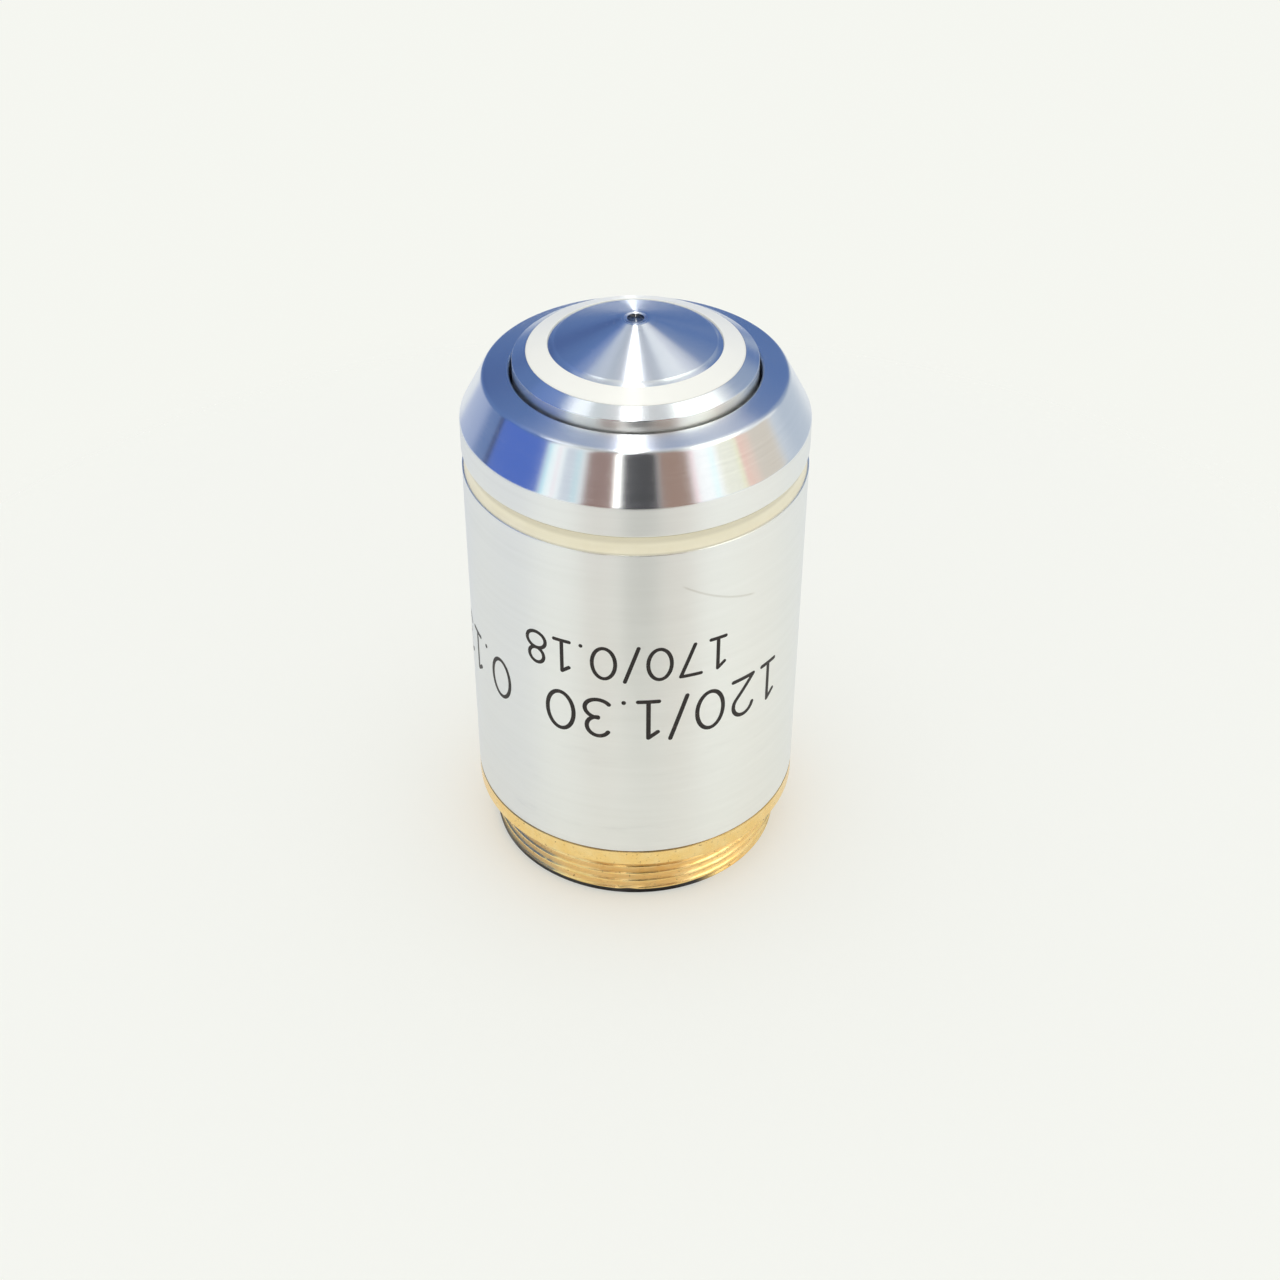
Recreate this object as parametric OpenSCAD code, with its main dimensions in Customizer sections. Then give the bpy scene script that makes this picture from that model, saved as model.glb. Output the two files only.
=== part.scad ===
// High-power microscope objective of the short type, with a spring-loaded nose.
// Z is the optical axis and points at the specimen. The origin is the centre of
// the mounting shoulder, the face that seats on the nosepiece of the microscope.
// All sizes are in millimetres.

/* [Mounting thread] */
// Radius over the crests of the mounting thread
thread_r = 10.16; // [9.9:0.01:10.4]
// Length of the threaded stub below the shoulder
thread_len = 3.8; // [2.8:0.1:5.5]
// Depth of the undercut beside the shoulder, below the crests
undercut_depth = 0.56; // [0.42:0.02:0.9]
// Width of the undercut along the axis
undercut_w = 0.7; // [0.3:0.05:1]
// Chamfer at the free end of the thread
thread_chamfer = 0.1; // [0.05:0.05:0.6]
// Width of the mounting shoulder outside the thread
mount_shoulder_w = 1.12; // [0.8:0.02:2]
// Room between the thread's crests and the flat of the shoulder
relief_w = 0.14; // [0.08:0.02:0.3]
// Depth to which the undercut relieves the inner edge of the shoulder
relief_depth = 0.15; // [0.05:0.01:0.3]

/* [Outer shell] */
// Thickness of the brass flange above the shoulder
flange_t = 1.25; // [0.8:0.05:2.5]
// Length of the satin sleeve
sleeve_len = 24.9; // [23:0.1:32]
// Wall of the sleeve
sleeve_wall = 1.08; // [0.8:0.02:1.3]
// Height of the enamelled seam ring between the sleeve and the cap
seam_h = 1.3; // [0.6:0.1:2]
// How far the edges of the seam ring lie below the shell
seam_set = 0.1; // [0.05:0.01:0.2]
// Depth of the hollow turned into the seam ring
seam_hollow = 0.22; // [0.1:0.02:0.3]
// Small chamfer on the outer edges of the shell pieces
edge_break = 0.12; // [0.05:0.01:0.2]

/* [Front cap] */
// Height of the satin band under the polished bevel
cap_band_h = 2.14; // [1:0.02:4]
// Height of the polished bevel
cap_bevel_h = 3; // [2:0.05:4]
// Width of the polished bevel, measured towards the axis
cap_bevel_w = 1.61; // [1:0.01:2.2]
// Rise of the cap's slightly conical face from the bevel in to the nose
face_rise = 0.27; // [0.1:0.01:0.5]
// Thickness of the lip that surrounds the nose
cap_lip_t = 1.9; // [1:0.05:2.6]
// Length of the skirt that is screwed into the sleeve
skirt_len = 2.15; // [1.5:0.05:3.5]
// Radial room between the skirt and the lens barrel
skirt_gap = 0.3; // [0.1:0.05:0.6]

/* [Sprung nose] */
// Travel of the nose when it is pushed in
nose_travel = 2; // [1:0.1:2.5]
// Step from the lens barrel in to the nose that passes through the cap
nose_step = 0.6; // [0.3:0.02:0.9]
// Radial gap between the nose and the cap
nose_gap = 0.2; // [0.1:0.01:0.3]
// Height of the straight wall that stands out of the cap
nose_proud = 0.69; // [0.3:0.01:1.5]
// Height of the bevelled rim above that wall
rim_h = 0.54; // [0.4:0.02:1]
// Height of the cone above the rim
cone_h = 2.16; // [1.8:0.02:2.6]
// Width of the bevelled rim outside the white code ring
rim_w = 0.88; // [0.6:0.02:1.2]
// Width of the white code ring
code_ring_w = 1.38; // [0.8:0.02:1.8]
// Depth of the enamel in the groove of the code ring
ring_depth = 0.3; // [0.15:0.05:0.4]
// Radius of the flat land at the tip
tip_r = 0.95; // [0.9:0.01:1.1]
// Width of the front cell's edge that shows through the hole in the cone
tip_edge_w = 0.4; // [0.25:0.01:0.65]
// Thickness of the wall of the cone, measured along the axis
cone_wall = 0.7; // [0.55:0.05:0.8]
// Wall of the nose cap around the spigot of the barrel
nose_wall = 0.8; // [0.6:0.05:1]
// Length of the spigot that the nose cap is screwed on to
spigot_len = 2.6; // [2:0.1:3]

/* [Lens barrel] */
// Radial room for the spring between the lens barrel and the sleeve
spring_room = 1.8; // [1.5:0.02:2]
// Wall of the barrel around the lens cells
barrel_wall = 2; // [1.6:0.05:2.3]
// Radial running clearance of the two guides
slide_gap = 0.03; // [0.02:0.005:0.06]
// Length of the guide tube above the flange
guide_len = 9.75; // [8:0.25:11]
// Height of the barrel's rear end above the shoulder
barrel_foot = 2.6; // [2.2:0.1:3.5]
// Thickness of the collar that the spring pushes on
collar_t = 1.5; // [1:0.05:2.5]
// Thickness of the shim that sets the focus height
shim_t = 0.2; // [0.1:0.02:0.5]
// Thickness of the inner lip that the lens cells are pushed against
barrel_lip_t = 0.6; // [0.4:0.05:1]
// Width of that lip
barrel_lip_w = 1.2; // [0.6:0.1:1.6]

/* [Spring] */
// Radius of the spring wire
wire_r = 0.38; // [0.25:0.01:0.45]
// Number of turns of the spring, the two closed end turns included
spring_turns = 7; // [5:1:8]
// Thickness of the washer under the spring
washer_t = 0.4; // [0.2:0.05:0.8]
// Radial room on both sides of the washer
washer_gap = 0.1; // [0.05:0.01:0.2]

/* [Guide screw] */
// Radius of the guide screw's thread
screw_r = 0.8; // [0.6:0.05:1]
// Radius of the screw's plain point, which runs in the barrel's slot
point_r = 0.6; // [0.4:0.02:0.7]
// Clearance around the point in its slot
slot_gap = 0.05; // [0.03:0.01:0.1]
// Depth of the slot in the barrel
slot_depth = 1; // [0.6:0.05:1.3]
// Height of the screw above the flange
screw_rise = 5.75; // [4.5:0.25:6.5]
// Width of the driver slot in the screw
driver_w = 0.3; // [0.2:0.02:0.4]
// Depth of the driver slot in the screw
driver_depth = 0.4; // [0.2:0.05:0.6]

/* [Front lens group] */
// Height of the front cell from the barrel's end to the foot of the cone
front_cell_h = 2.3; // [2:0.05:2.6]
// Thickness of the front cell's clamped flange
front_flange_t = 0.6; // [0.4:0.05:0.9]
// Width of the shoulder that clamps that flange
shoulder_w = 0.9; // [0.6:0.05:1.1]
// Gap between the front cell and the inside of the nose cap
cell_gap = 0.05; // [0.03:0.01:0.12]
// Width of the metal land around the flat face of the front lens
tip_land_w = 0.2; // [0.15:0.01:0.35]
// Radius of the ball that the front lens is ground from
front_ball_r = 1; // [0.92:0.01:1.05]
// Width of the seat behind the front lens
front_seat_w = 0.08; // [0.05:0.01:0.12]
// Radius of the meniscus lens
meniscus_r = 1.7; // [1.5:0.02:1.8]
// Thickness of the meniscus lens on the axis
meniscus_t = 1.1; // [1:0.02:1.3]
// Radius of curvature of its hollow face
meniscus_hollow_r = 4.5; // [3.5:0.1:6]
// Radius of curvature of its bulging face
meniscus_bulge_r = 2.3; // [2.1:0.05:3]
// Wall of the meniscus cell
meniscus_wall = 0.7; // [0.5:0.05:0.8]
// How far the meniscus cell reaches behind its lens, from the edge
meniscus_rear = 0.98; // [0.5:0.02:1.1]
// Distance between the front lens and the meniscus on the axis
meniscus_air = 0.54; // [0.5:0.02:0.7]

/* [Middle doublet] */
// Share of the cell bore's radius that the middle doublet takes
middle_share = 0.5; // [0.42:0.01:0.58]
// Thickness of its crown lens at the edge
middle_crown_edge = 0.55; // [0.3:0.05:1]
// Thickness of its flint lens on the axis
middle_flint_t = 0.9; // [0.7:0.05:1.1]
// Radius of curvature of the crown's front face, in lens radii
middle_front_curve = 2.2; // [1.9:0.05:3]
// Radius of curvature of the cemented face, in lens radii
middle_cement_curve = 1.55; // [1.4:0.05:2.4]

/* [Rear doublet] */
// Share of the cell bore's radius that the rear doublet takes
rear_share = 0.5625; // [0.45:0.0125:0.65]
// Thickness of its crown lens at the edge
rear_crown_edge = 0.55; // [0.3:0.05:1]
// Thickness of its flint lens on the axis
rear_flint_t = 0.9; // [0.7:0.05:1.2]
// Radius of curvature of the crown's front face, in lens radii
rear_front_curve = 2.5; // [2:0.05:3.5]
// Radius of curvature of the cemented face, in lens radii
rear_cement_curve = 1.8; // [1.5:0.05:2.6]

/* [Spacing and locking] */
// How far each crown lens lies behind the front end of its cell
cell_set = 0.3; // [0.1:0.05:0.4]
// How far each flint lens lies in front of the rear end of its cell
cell_rear = 0.35; // [0.1:0.05:0.8]
// Length of the spacer tube between the two cells
spacer_len = 2; // [1:0.1:3]
// Wall of the spacer tube
spacer_wall = 2; // [1:0.1:2.4]
// Width of the rim that holds a doublet in its cell
seat_w = 0.2; // [0.1:0.02:0.3]
// Radius of the aperture stop's hole
stop_r = 2.2; // [1.5:0.05:3]
// Thickness of the aperture stop
stop_t = 0.3; // [0.2:0.05:0.6]
// Thickness of the slotted ring that locks the cells
lock_t = 1.5; // [1:0.1:2.5]
// Wall of the locking ring
lock_wall = 1.3; // [0.9:0.05:1.6]
// Width of the two spanner slots in the locking ring
lock_slot_w = 1; // [0.6:0.05:1.6]
// Depth of those slots
lock_slot_depth = 0.7; // [0.3:0.05:0.9]

/* [Hidden] */
$fn = 128;

// How far a cut reaches past the piece that it goes through
over = 1;

// Heights of the fixed shell, from the shoulder up
sleeve_top = flange_t + sleeve_len;
band_foot = sleeve_top + seam_h;
bevel_foot = band_foot + cap_band_h;
cap_top = bevel_foot + cap_bevel_h;
face_top = cap_top + face_rise;
guide_top = flange_t + guide_len;
stop_z = sleeve_top - skirt_len;

// Radii of the fixed shell, from the thread outwards and then inwards to the nose
undercut_r = thread_r - undercut_depth;
shell_r = thread_r + mount_shoulder_w;
sleeve_bore_r = shell_r - sleeve_wall;
cap_face_r = shell_r - cap_bevel_w;
barrel_r = sleeve_bore_r - spring_room;
nose_r = barrel_r - nose_step;
guide_bore_r = barrel_r + slide_gap;
cap_bore_r = nose_r + nose_gap;
cap_inner_r = barrel_r + skirt_gap;

// Heights of the nose at rest, with its collar against the skirt of the cap
collar_top = stop_z - shim_t;
collar_foot = collar_top - collar_t;
rim_foot = face_top + nose_proud;
cone_foot = rim_foot + rim_h;
tip_z = cone_foot + cone_h;
barrel_front = cone_foot - front_cell_h;
nose_foot = barrel_front - spigot_len;
shoulder_z = barrel_front + front_flange_t;

// Radii of the nose
spigot_r = nose_r - nose_wall;
cell_bore_r = barrel_r - barrel_wall;
head_r = spigot_r - shoulder_w;
ring_outer_r = nose_r - rim_w;
ring_inner_r = ring_outer_r - code_ring_w;
tip_hole_r = tip_r + tip_edge_w;
front_face_r = tip_r - tip_land_w;
front_throat_r = front_ball_r - front_seat_w;

// The two doublets and the lengths of their cells
middle_r = middle_share * cell_bore_r;
middle_front_c = middle_front_curve * middle_r;
middle_cement_c = middle_cement_curve * middle_r;
middle_crown_t = sag(middle_front_c, middle_r) + middle_crown_edge + sag(middle_cement_c, middle_r);
middle_cell_len = cell_set + middle_crown_t + middle_flint_t + cell_rear;
rear_r = rear_share * cell_bore_r;
rear_front_c = rear_front_curve * rear_r;
rear_cement_c = rear_cement_curve * rear_r;
rear_crown_t = sag(rear_front_c, rear_r) + rear_crown_edge + sag(rear_cement_c, rear_r);
rear_cell_len = cell_set + rear_crown_t + rear_flint_t + cell_rear;

// The stack of cells behind the barrel's inner lip, front to rear
middle_top = barrel_front - barrel_lip_t;
spacer_top = middle_top - middle_cell_len;
rear_top = spacer_top - spacer_len;
stop_top = rear_top - rear_cell_len;
lock_top = stop_top - stop_t;
lock_foot = lock_top - lock_t;

// Optical surfaces on the axis
front_ball_z = tip_z - sqrt(front_ball_r * front_ball_r - front_face_r * front_face_r);
meniscus_front = front_ball_z - front_ball_r - meniscus_air;
meniscus_back = meniscus_front - meniscus_t;
meniscus_edge = meniscus_front + sag(meniscus_hollow_r, meniscus_r);
middle_front = middle_top - cell_set;
middle_cement = middle_front - middle_crown_t;
rear_front = rear_top - cell_set;
rear_cement = rear_front - rear_crown_t;
meniscus_cell_r = meniscus_r + meniscus_wall;
meniscus_lip = 0.12;
meniscus_cell_top = meniscus_edge + meniscus_lip;
meniscus_cell_len = meniscus_lip + meniscus_t + meniscus_rear;
meniscus_cell_foot = meniscus_cell_top - meniscus_cell_len;

// The coil spring between the washer and the collar
spring_foot = guide_top + washer_t;
spring_len = collar_foot - spring_foot;
coil_r = (barrel_r + sleeve_bore_r) / 2;
turn_steps = 24;
wire_sides = 8;
end_pitch = 2.1 * wire_r;
ground_off = 0.7 * wire_r;

// The guide screw, seen from above its slot
screw_z = flange_t + screw_rise;
slot_floor_r = barrel_r - slot_depth;
point_end_r = slot_floor_r + 2 * slot_gap;
slot_r = point_r + slot_gap;

// Depth of a spherical face of curvature c at the radius r
function sag(c, r) = c - sqrt(c * c - r * r);

// Height of the cone's surface at the radius r
function cone_z(r) = cone_foot + cone_h * (ring_outer_r - r) / (ring_outer_r - tip_r);

// A part turned on the lathe from a profile of [radius, height] points
module turned(points) {
    rotate_extrude() polygon(points);
}

// A plain ring between two radii
module ring(outer_r, inner_r, foot, height) {
    translate([0, 0, foot]) rotate_extrude() translate([inner_r, 0]) square([outer_r - inner_r, height]);
}

// Right half of the disc that a spherical lens face is part of
module face_disc(curve, centre_z) {
    translate([0, centre_z]) circle(r = curve);
}

// Half section of a biconvex lens between its two faces on the axis
module biconvex_section(lens_r, front_z, front_curve, back_z, back_curve) {
    intersection() {
        translate([0, back_z]) square([lens_r, front_z - back_z]);
        face_disc(front_curve, front_z - front_curve);
        face_disc(back_curve, back_z + back_curve);
    }
}

// Half section of a flint lens, hollow in front and flat behind
module flint_section(lens_r, hollow_z, hollow_curve, thickness) {
    difference() {
        translate([0, hollow_z - thickness])
            square([lens_r, thickness + sag(hollow_curve, lens_r)]);
        face_disc(hollow_curve, hollow_z + hollow_curve);
    }
}

// Half section of a lens cell, open behind, with a splayed mouth and a seat in front
module cell_section(top, length, lens_r, front_z, front_curve) {
    seat_z = front_z - sag(front_curve, lens_r);
    seat_r = lens_r - seat_w;
    difference() {
        polygon([
            [lens_r, top - length],
            [cell_bore_r, top - length],
            [cell_bore_r, top],
            [seat_r + (top - seat_z), top],
            [seat_r, seat_z],
            [lens_r, seat_z]
        ]);
        intersection() {
            translate([0, top - length]) square([lens_r, length]);
            face_disc(front_curve, front_z - front_curve);
        }
    }
}

module front_lens_section() {
    intersection() {
        translate([0, front_ball_z - front_ball_r]) square([front_ball_r, tip_z - front_ball_z + front_ball_r]);
        face_disc(front_ball_r, front_ball_z);
    }
}

module meniscus_section() {
    difference() {
        intersection() {
            translate([0, meniscus_back]) square([meniscus_r, meniscus_edge - meniscus_back]);
            face_disc(meniscus_bulge_r, meniscus_back + meniscus_bulge_r);
        }
        face_disc(meniscus_hollow_r, meniscus_front + meniscus_hollow_r);
    }
}

// Threaded stub, flange and guide tube, turned from one piece of brass
module mount_body() {
    color("goldenrod") difference() {
        turned([
            [guide_bore_r + thread_chamfer, -thread_len],
            [thread_r - thread_chamfer, -thread_len],
            [thread_r, -thread_len + thread_chamfer],
            [thread_r, -undercut_w - (thread_r - undercut_r)],
            [undercut_r, -undercut_w],
            [undercut_r, relief_depth],
            [thread_r + relief_w, 0],
            [shell_r - edge_break, 0],
            [shell_r, edge_break],
            [shell_r, flange_t],
            [sleeve_bore_r, flange_t],
            [sleeve_bore_r, guide_top],
            [guide_bore_r, guide_top],
            [guide_bore_r, -thread_len + thread_chamfer]
        ]);
        translate([0, 0, screw_z]) rotate([-90, 0, 0])
            cylinder(r = screw_r, h = sleeve_bore_r + over);
    }
}

// Satin outer tube that carries the markings
module sleeve() {
    color("gainsboro") turned([
        [sleeve_bore_r, flange_t],
        [shell_r - edge_break, flange_t],
        [shell_r, flange_t + edge_break],
        [shell_r, sleeve_top - edge_break],
        [shell_r - edge_break, sleeve_top],
        [sleeve_bore_r, sleeve_top]
    ]);
}

// Pale enamelled ring in the seam, hollow like a groove
module seam_ring() {
    edge_r = shell_r - seam_set;
    half = seam_h / 2;
    groove_r = (half * half + seam_hollow * seam_hollow) / (2 * seam_hollow);
    color("palegoldenrod") rotate_extrude() difference() {
        translate([sleeve_bore_r, sleeve_top]) square([edge_r - sleeve_bore_r, seam_h]);
        translate([edge_r - seam_hollow + groove_r, sleeve_top + half]) circle(r = groove_r);
    }
}

// Bevelled cap whose lip surrounds the nose and whose skirt stops the collar
module front_cap() {
    color("lightsteelblue") turned([
        [cap_inner_r, stop_z],
        [sleeve_bore_r, stop_z],
        [sleeve_bore_r, band_foot],
        [shell_r - edge_break, band_foot],
        [shell_r, band_foot + edge_break],
        [shell_r, bevel_foot],
        [cap_face_r + edge_break, cap_top - edge_break],
        [cap_face_r, cap_top],
        [cap_bore_r + edge_break, face_top],
        [cap_bore_r, face_top - edge_break],
        [cap_bore_r, cap_top - cap_lip_t],
        [cap_inner_r, cap_top - cap_lip_t]
    ]);
}

module spring_washer() {
    color("silver") ring(sleeve_bore_r - washer_gap, barrel_r + washer_gap, guide_top, washer_t);
}

// Height of the wire's centre after t turns: closed end turns, open turns between
function coil_z(t) =
    let (low = wire_r - ground_off, high = spring_len - low)
    t < 1 ? low + end_pitch * t :
    t > spring_turns - 1 ? high - end_pitch * (spring_turns - t) :
    low + end_pitch + (t - 1) * (high - low - 2 * end_pitch) / (spring_turns - 2);

// A point on the wire's surface, ground flat at both ends of the spring
function wire_point(t, side) =
    let (a = 360 * (side + 0.5) / wire_sides, r = coil_r + wire_r * cos(a))
    [r * cos(360 * t), r * sin(360 * t),
        spring_foot + min(spring_len, max(0, coil_z(t) + wire_r * sin(a)))];

// Compression spring around the barrel
module spring() {
    rings = spring_turns * turn_steps;
    points = [for (i = [0:rings], s = [0:wire_sides - 1]) wire_point(i / turn_steps, s)];
    sides = [for (i = [0:rings - 1], s = [0:wire_sides - 1])
        let (n = (s + 1) % wire_sides, a = i * wire_sides, b = a + wire_sides)
        each [[a + s, b + s, b + n], [a + s, b + n, a + n]]];
    first = [for (s = [0:wire_sides - 1]) s];
    last = [for (s = [wire_sides - 1:-1:0]) rings * wire_sides + s];
    color("dimgray") polyhedron(points, concat(sides, [first, last]));
}

// Dog-point screw in the guide tube that keeps the barrel from turning
module guide_screw() {
    color("darkgray") translate([0, 0, screw_z]) rotate([-90, 0, 0]) difference() {
        union() {
            translate([0, 0, guide_bore_r]) cylinder(r = screw_r, h = sleeve_bore_r - guide_bore_r - cell_gap);
            translate([0, 0, point_end_r]) cylinder(r = point_r, h = guide_bore_r - point_end_r);
        }
        translate([-screw_r - over, -driver_w / 2, sleeve_bore_r - driver_depth])
            cube([2 * (screw_r + over), driver_w, driver_depth]);
    }
}

// Tube that carries all the cells and slides in the guide tube
module lens_barrel() {
    mouth = 0.5;
    color("slategray") difference() {
        turned([
            [cell_bore_r + mouth, barrel_foot],
            [barrel_r - edge_break, barrel_foot],
            [barrel_r, barrel_foot + edge_break],
            [barrel_r, collar_foot],
            [sleeve_bore_r - slide_gap, collar_foot],
            [sleeve_bore_r - slide_gap, collar_top],
            [barrel_r, collar_top],
            [barrel_r, nose_foot],
            [spigot_r, nose_foot],
            [spigot_r, barrel_front],
            [cell_bore_r - barrel_lip_w, barrel_front],
            [cell_bore_r - barrel_lip_w, middle_top],
            [cell_bore_r, middle_top],
            [cell_bore_r, barrel_foot + mouth]
        ]);
        guide_slot();
    }
}

// Slot that the point of the guide screw runs in while the barrel travels
module guide_slot() {
    for (z = [screw_z, screw_z + nose_travel])
        translate([0, slot_floor_r, z]) rotate([-90, 0, 0]) cylinder(r = slot_r, h = slot_depth + over);
    translate([-slot_r, slot_floor_r, screw_z]) cube([2 * slot_r, slot_depth + over, nose_travel]);
}

// Thin ring between the collar and the skirt
module focus_shim() {
    color("khaki") ring(sleeve_bore_r - washer_gap, barrel_r + washer_gap, collar_top, shim_t);
}

// Polished nose with the groove for the code ring
module nose_cap() {
    color("cornflowerblue") turned([
        [spigot_r, nose_foot],
        [nose_r - edge_break, nose_foot],
        [nose_r, nose_foot + edge_break],
        [nose_r, rim_foot],
        [ring_outer_r, cone_foot],
        [ring_outer_r, cone_foot - ring_depth],
        [ring_inner_r, cone_z(ring_inner_r) - ring_depth],
        [ring_inner_r, cone_z(ring_inner_r)],
        [tip_hole_r, cone_z(tip_hole_r)],
        [tip_hole_r, cone_z(tip_hole_r) - cone_wall],
        [head_r, cone_z(head_r) - cone_wall],
        [head_r, shoulder_z],
        [spigot_r, shoulder_z]
    ]);
}

// White enamel that fills the groove flush with the cone and tells the magnification
module code_ring() {
    color("white") turned([
        [ring_inner_r, cone_z(ring_inner_r)],
        [ring_inner_r, cone_z(ring_inner_r) - ring_depth],
        [ring_outer_r, cone_foot - ring_depth],
        [ring_outer_r, cone_foot]
    ]);
}

// Cone inside the nose that holds the front lens and the meniscus cell
module front_cell() {
    outer_drop = cone_wall + cell_gap;
    color("silver") rotate_extrude() difference() {
        polygon([
            [0, barrel_front],
            [spigot_r - cell_gap, barrel_front],
            [spigot_r - cell_gap, shoulder_z],
            [head_r - cell_gap, shoulder_z],
            [head_r - cell_gap, cone_z(head_r) - outer_drop],
            [tip_hole_r, cone_z(tip_hole_r) - outer_drop],
            [tip_hole_r, cone_z(tip_hole_r)],
            [tip_r, tip_z],
            [0, tip_z]
        ]);
        front_lens_section();
        translate([0, barrel_front]) square([front_throat_r, front_ball_z - barrel_front]);
        translate([0, barrel_front]) square([meniscus_cell_r, meniscus_cell_top - barrel_front]);
        polygon([
            [0, barrel_front],
            [middle_r, barrel_front],
            [meniscus_cell_r, meniscus_cell_foot],
            [0, meniscus_cell_foot]
        ]);
    }
}

module front_lens() {
    color("lightcyan", 0.6) rotate_extrude() front_lens_section();
}

// Small ring that the meniscus is burnished into
module meniscus_cell() {
    color("gold") rotate_extrude() difference() {
        translate([0, meniscus_cell_foot]) square([meniscus_cell_r, meniscus_cell_len]);
        translate([0, meniscus_cell_foot]) square([meniscus_r, meniscus_edge - meniscus_cell_foot]);
        square([meniscus_r - meniscus_lip, meniscus_cell_top]);
    }
}

module meniscus_lens() {
    color("lightcyan", 0.6) rotate_extrude() meniscus_section();
}

module middle_cell() {
    color("gold") rotate_extrude()
        cell_section(middle_top, middle_cell_len, middle_r, middle_front, middle_front_c);
}

module middle_crown() {
    color("lightcyan", 0.6) rotate_extrude()
        biconvex_section(middle_r, middle_front, middle_front_c, middle_cement, middle_cement_c);
}

module middle_flint() {
    color("lightblue", 0.6) rotate_extrude()
        flint_section(middle_r, middle_cement, middle_cement_c, middle_flint_t);
}

// Tube that sets the distance between the two doublet cells
module cell_spacer() {
    color("dimgray") ring(cell_bore_r, cell_bore_r - spacer_wall, spacer_top - spacer_len, spacer_len);
}

module rear_cell() {
    color("gold") rotate_extrude()
        cell_section(rear_top, rear_cell_len, rear_r, rear_front, rear_front_c);
}

module rear_crown() {
    color("lightcyan", 0.6) rotate_extrude()
        biconvex_section(rear_r, rear_front, rear_front_c, rear_cement, rear_cement_c);
}

module rear_flint() {
    color("lightblue", 0.6) rotate_extrude()
        flint_section(rear_r, rear_cement, rear_cement_c, rear_flint_t);
}

// Blackened disc whose hole limits the beam
module aperture_stop() {
    color("black") ring(cell_bore_r, stop_r, lock_top, stop_t);
}

// Slotted ring screwed in from the rear to lock the stack of cells
module locking_ring() {
    color("dimgray") difference() {
        ring(cell_bore_r, cell_bore_r - lock_wall, lock_foot, lock_t);
        translate([-cell_bore_r - over, -lock_slot_w / 2, lock_foot - over])
            cube([2 * (cell_bore_r + over), lock_slot_w, lock_slot_depth + over]);
    }
}

mount_body();
sleeve();
seam_ring();
front_cap();
spring_washer();
spring();
guide_screw();
lens_barrel();
focus_shim();
nose_cap();
code_ring();
front_cell();
front_lens();
meniscus_cell();
meniscus_lens();
middle_cell();
middle_crown();
middle_flint();
cell_spacer();
rear_cell();
rear_crown();
rear_flint();
aperture_stop();
locking_ring();
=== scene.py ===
"""The looks of a high-power microscope objective that stands on its mounting thread.

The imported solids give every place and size. The turned pieces that show are made again
here with fine rounded edges, a real thread and a real coil spring, in the form of the
solids that they stand for. Lengths in this script are millimetres, and MM takes them to
metres.
"""

import math

import bmesh
import bpy
from mathutils import Matrix, Vector


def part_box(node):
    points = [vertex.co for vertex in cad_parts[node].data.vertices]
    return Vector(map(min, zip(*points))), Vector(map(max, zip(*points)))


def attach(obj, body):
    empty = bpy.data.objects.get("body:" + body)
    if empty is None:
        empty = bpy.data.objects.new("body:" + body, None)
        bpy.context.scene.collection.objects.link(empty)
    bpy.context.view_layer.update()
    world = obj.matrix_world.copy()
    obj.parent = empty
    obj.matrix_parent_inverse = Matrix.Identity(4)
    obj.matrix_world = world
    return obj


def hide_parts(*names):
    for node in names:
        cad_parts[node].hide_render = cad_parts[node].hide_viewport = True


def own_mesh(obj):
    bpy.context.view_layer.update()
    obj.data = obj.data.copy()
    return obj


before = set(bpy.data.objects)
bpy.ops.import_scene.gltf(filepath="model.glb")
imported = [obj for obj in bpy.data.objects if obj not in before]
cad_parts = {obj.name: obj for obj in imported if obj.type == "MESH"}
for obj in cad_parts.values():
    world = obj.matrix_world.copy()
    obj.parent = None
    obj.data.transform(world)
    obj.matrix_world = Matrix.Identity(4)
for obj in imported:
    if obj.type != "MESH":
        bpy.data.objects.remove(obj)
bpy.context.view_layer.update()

MM = 0.001


def top(node):
    """Height of a solid's upper end in millimetres."""
    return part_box(node)[1].z / MM


def foot(node):
    """Height of a solid's lower end in millimetres."""
    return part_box(node)[0].z / MM


def radius(node):
    """Largest radius of a turned solid in millimetres."""
    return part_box(node)[1].x / MM


# Sizes of the fixed shell, from the solids
THREAD_END = foot("mount_body")
GUIDE_TOP = top("mount_body")
SHELL_R = radius("sleeve")
SLEEVE_FOOT = foot("sleeve")
SLEEVE_TOP = top("sleeve")
SLEEVE_WALL = 1.08
SLEEVE_BORE_R = SHELL_R - SLEEVE_WALL
BAND_FOOT = top("seam_ring")
CAP_TOP = top("front_cap")
CAP_FOOT = foot("front_cap")
SPRING_ROOM = 1.8
BARREL_R = SLEEVE_BORE_R - SPRING_ROOM

# Sizes of the front cap
BEVEL_H = 3.0
BEVEL_W = 1.61
FACE_RISE = 0.27
BEVEL_TOP = CAP_TOP - FACE_RISE
BEVEL_FOOT = BEVEL_TOP - BEVEL_H
CAP_FACE_R = SHELL_R - BEVEL_W
CAP_LIP_T = 1.9
SKIRT_GAP = 0.3

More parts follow.
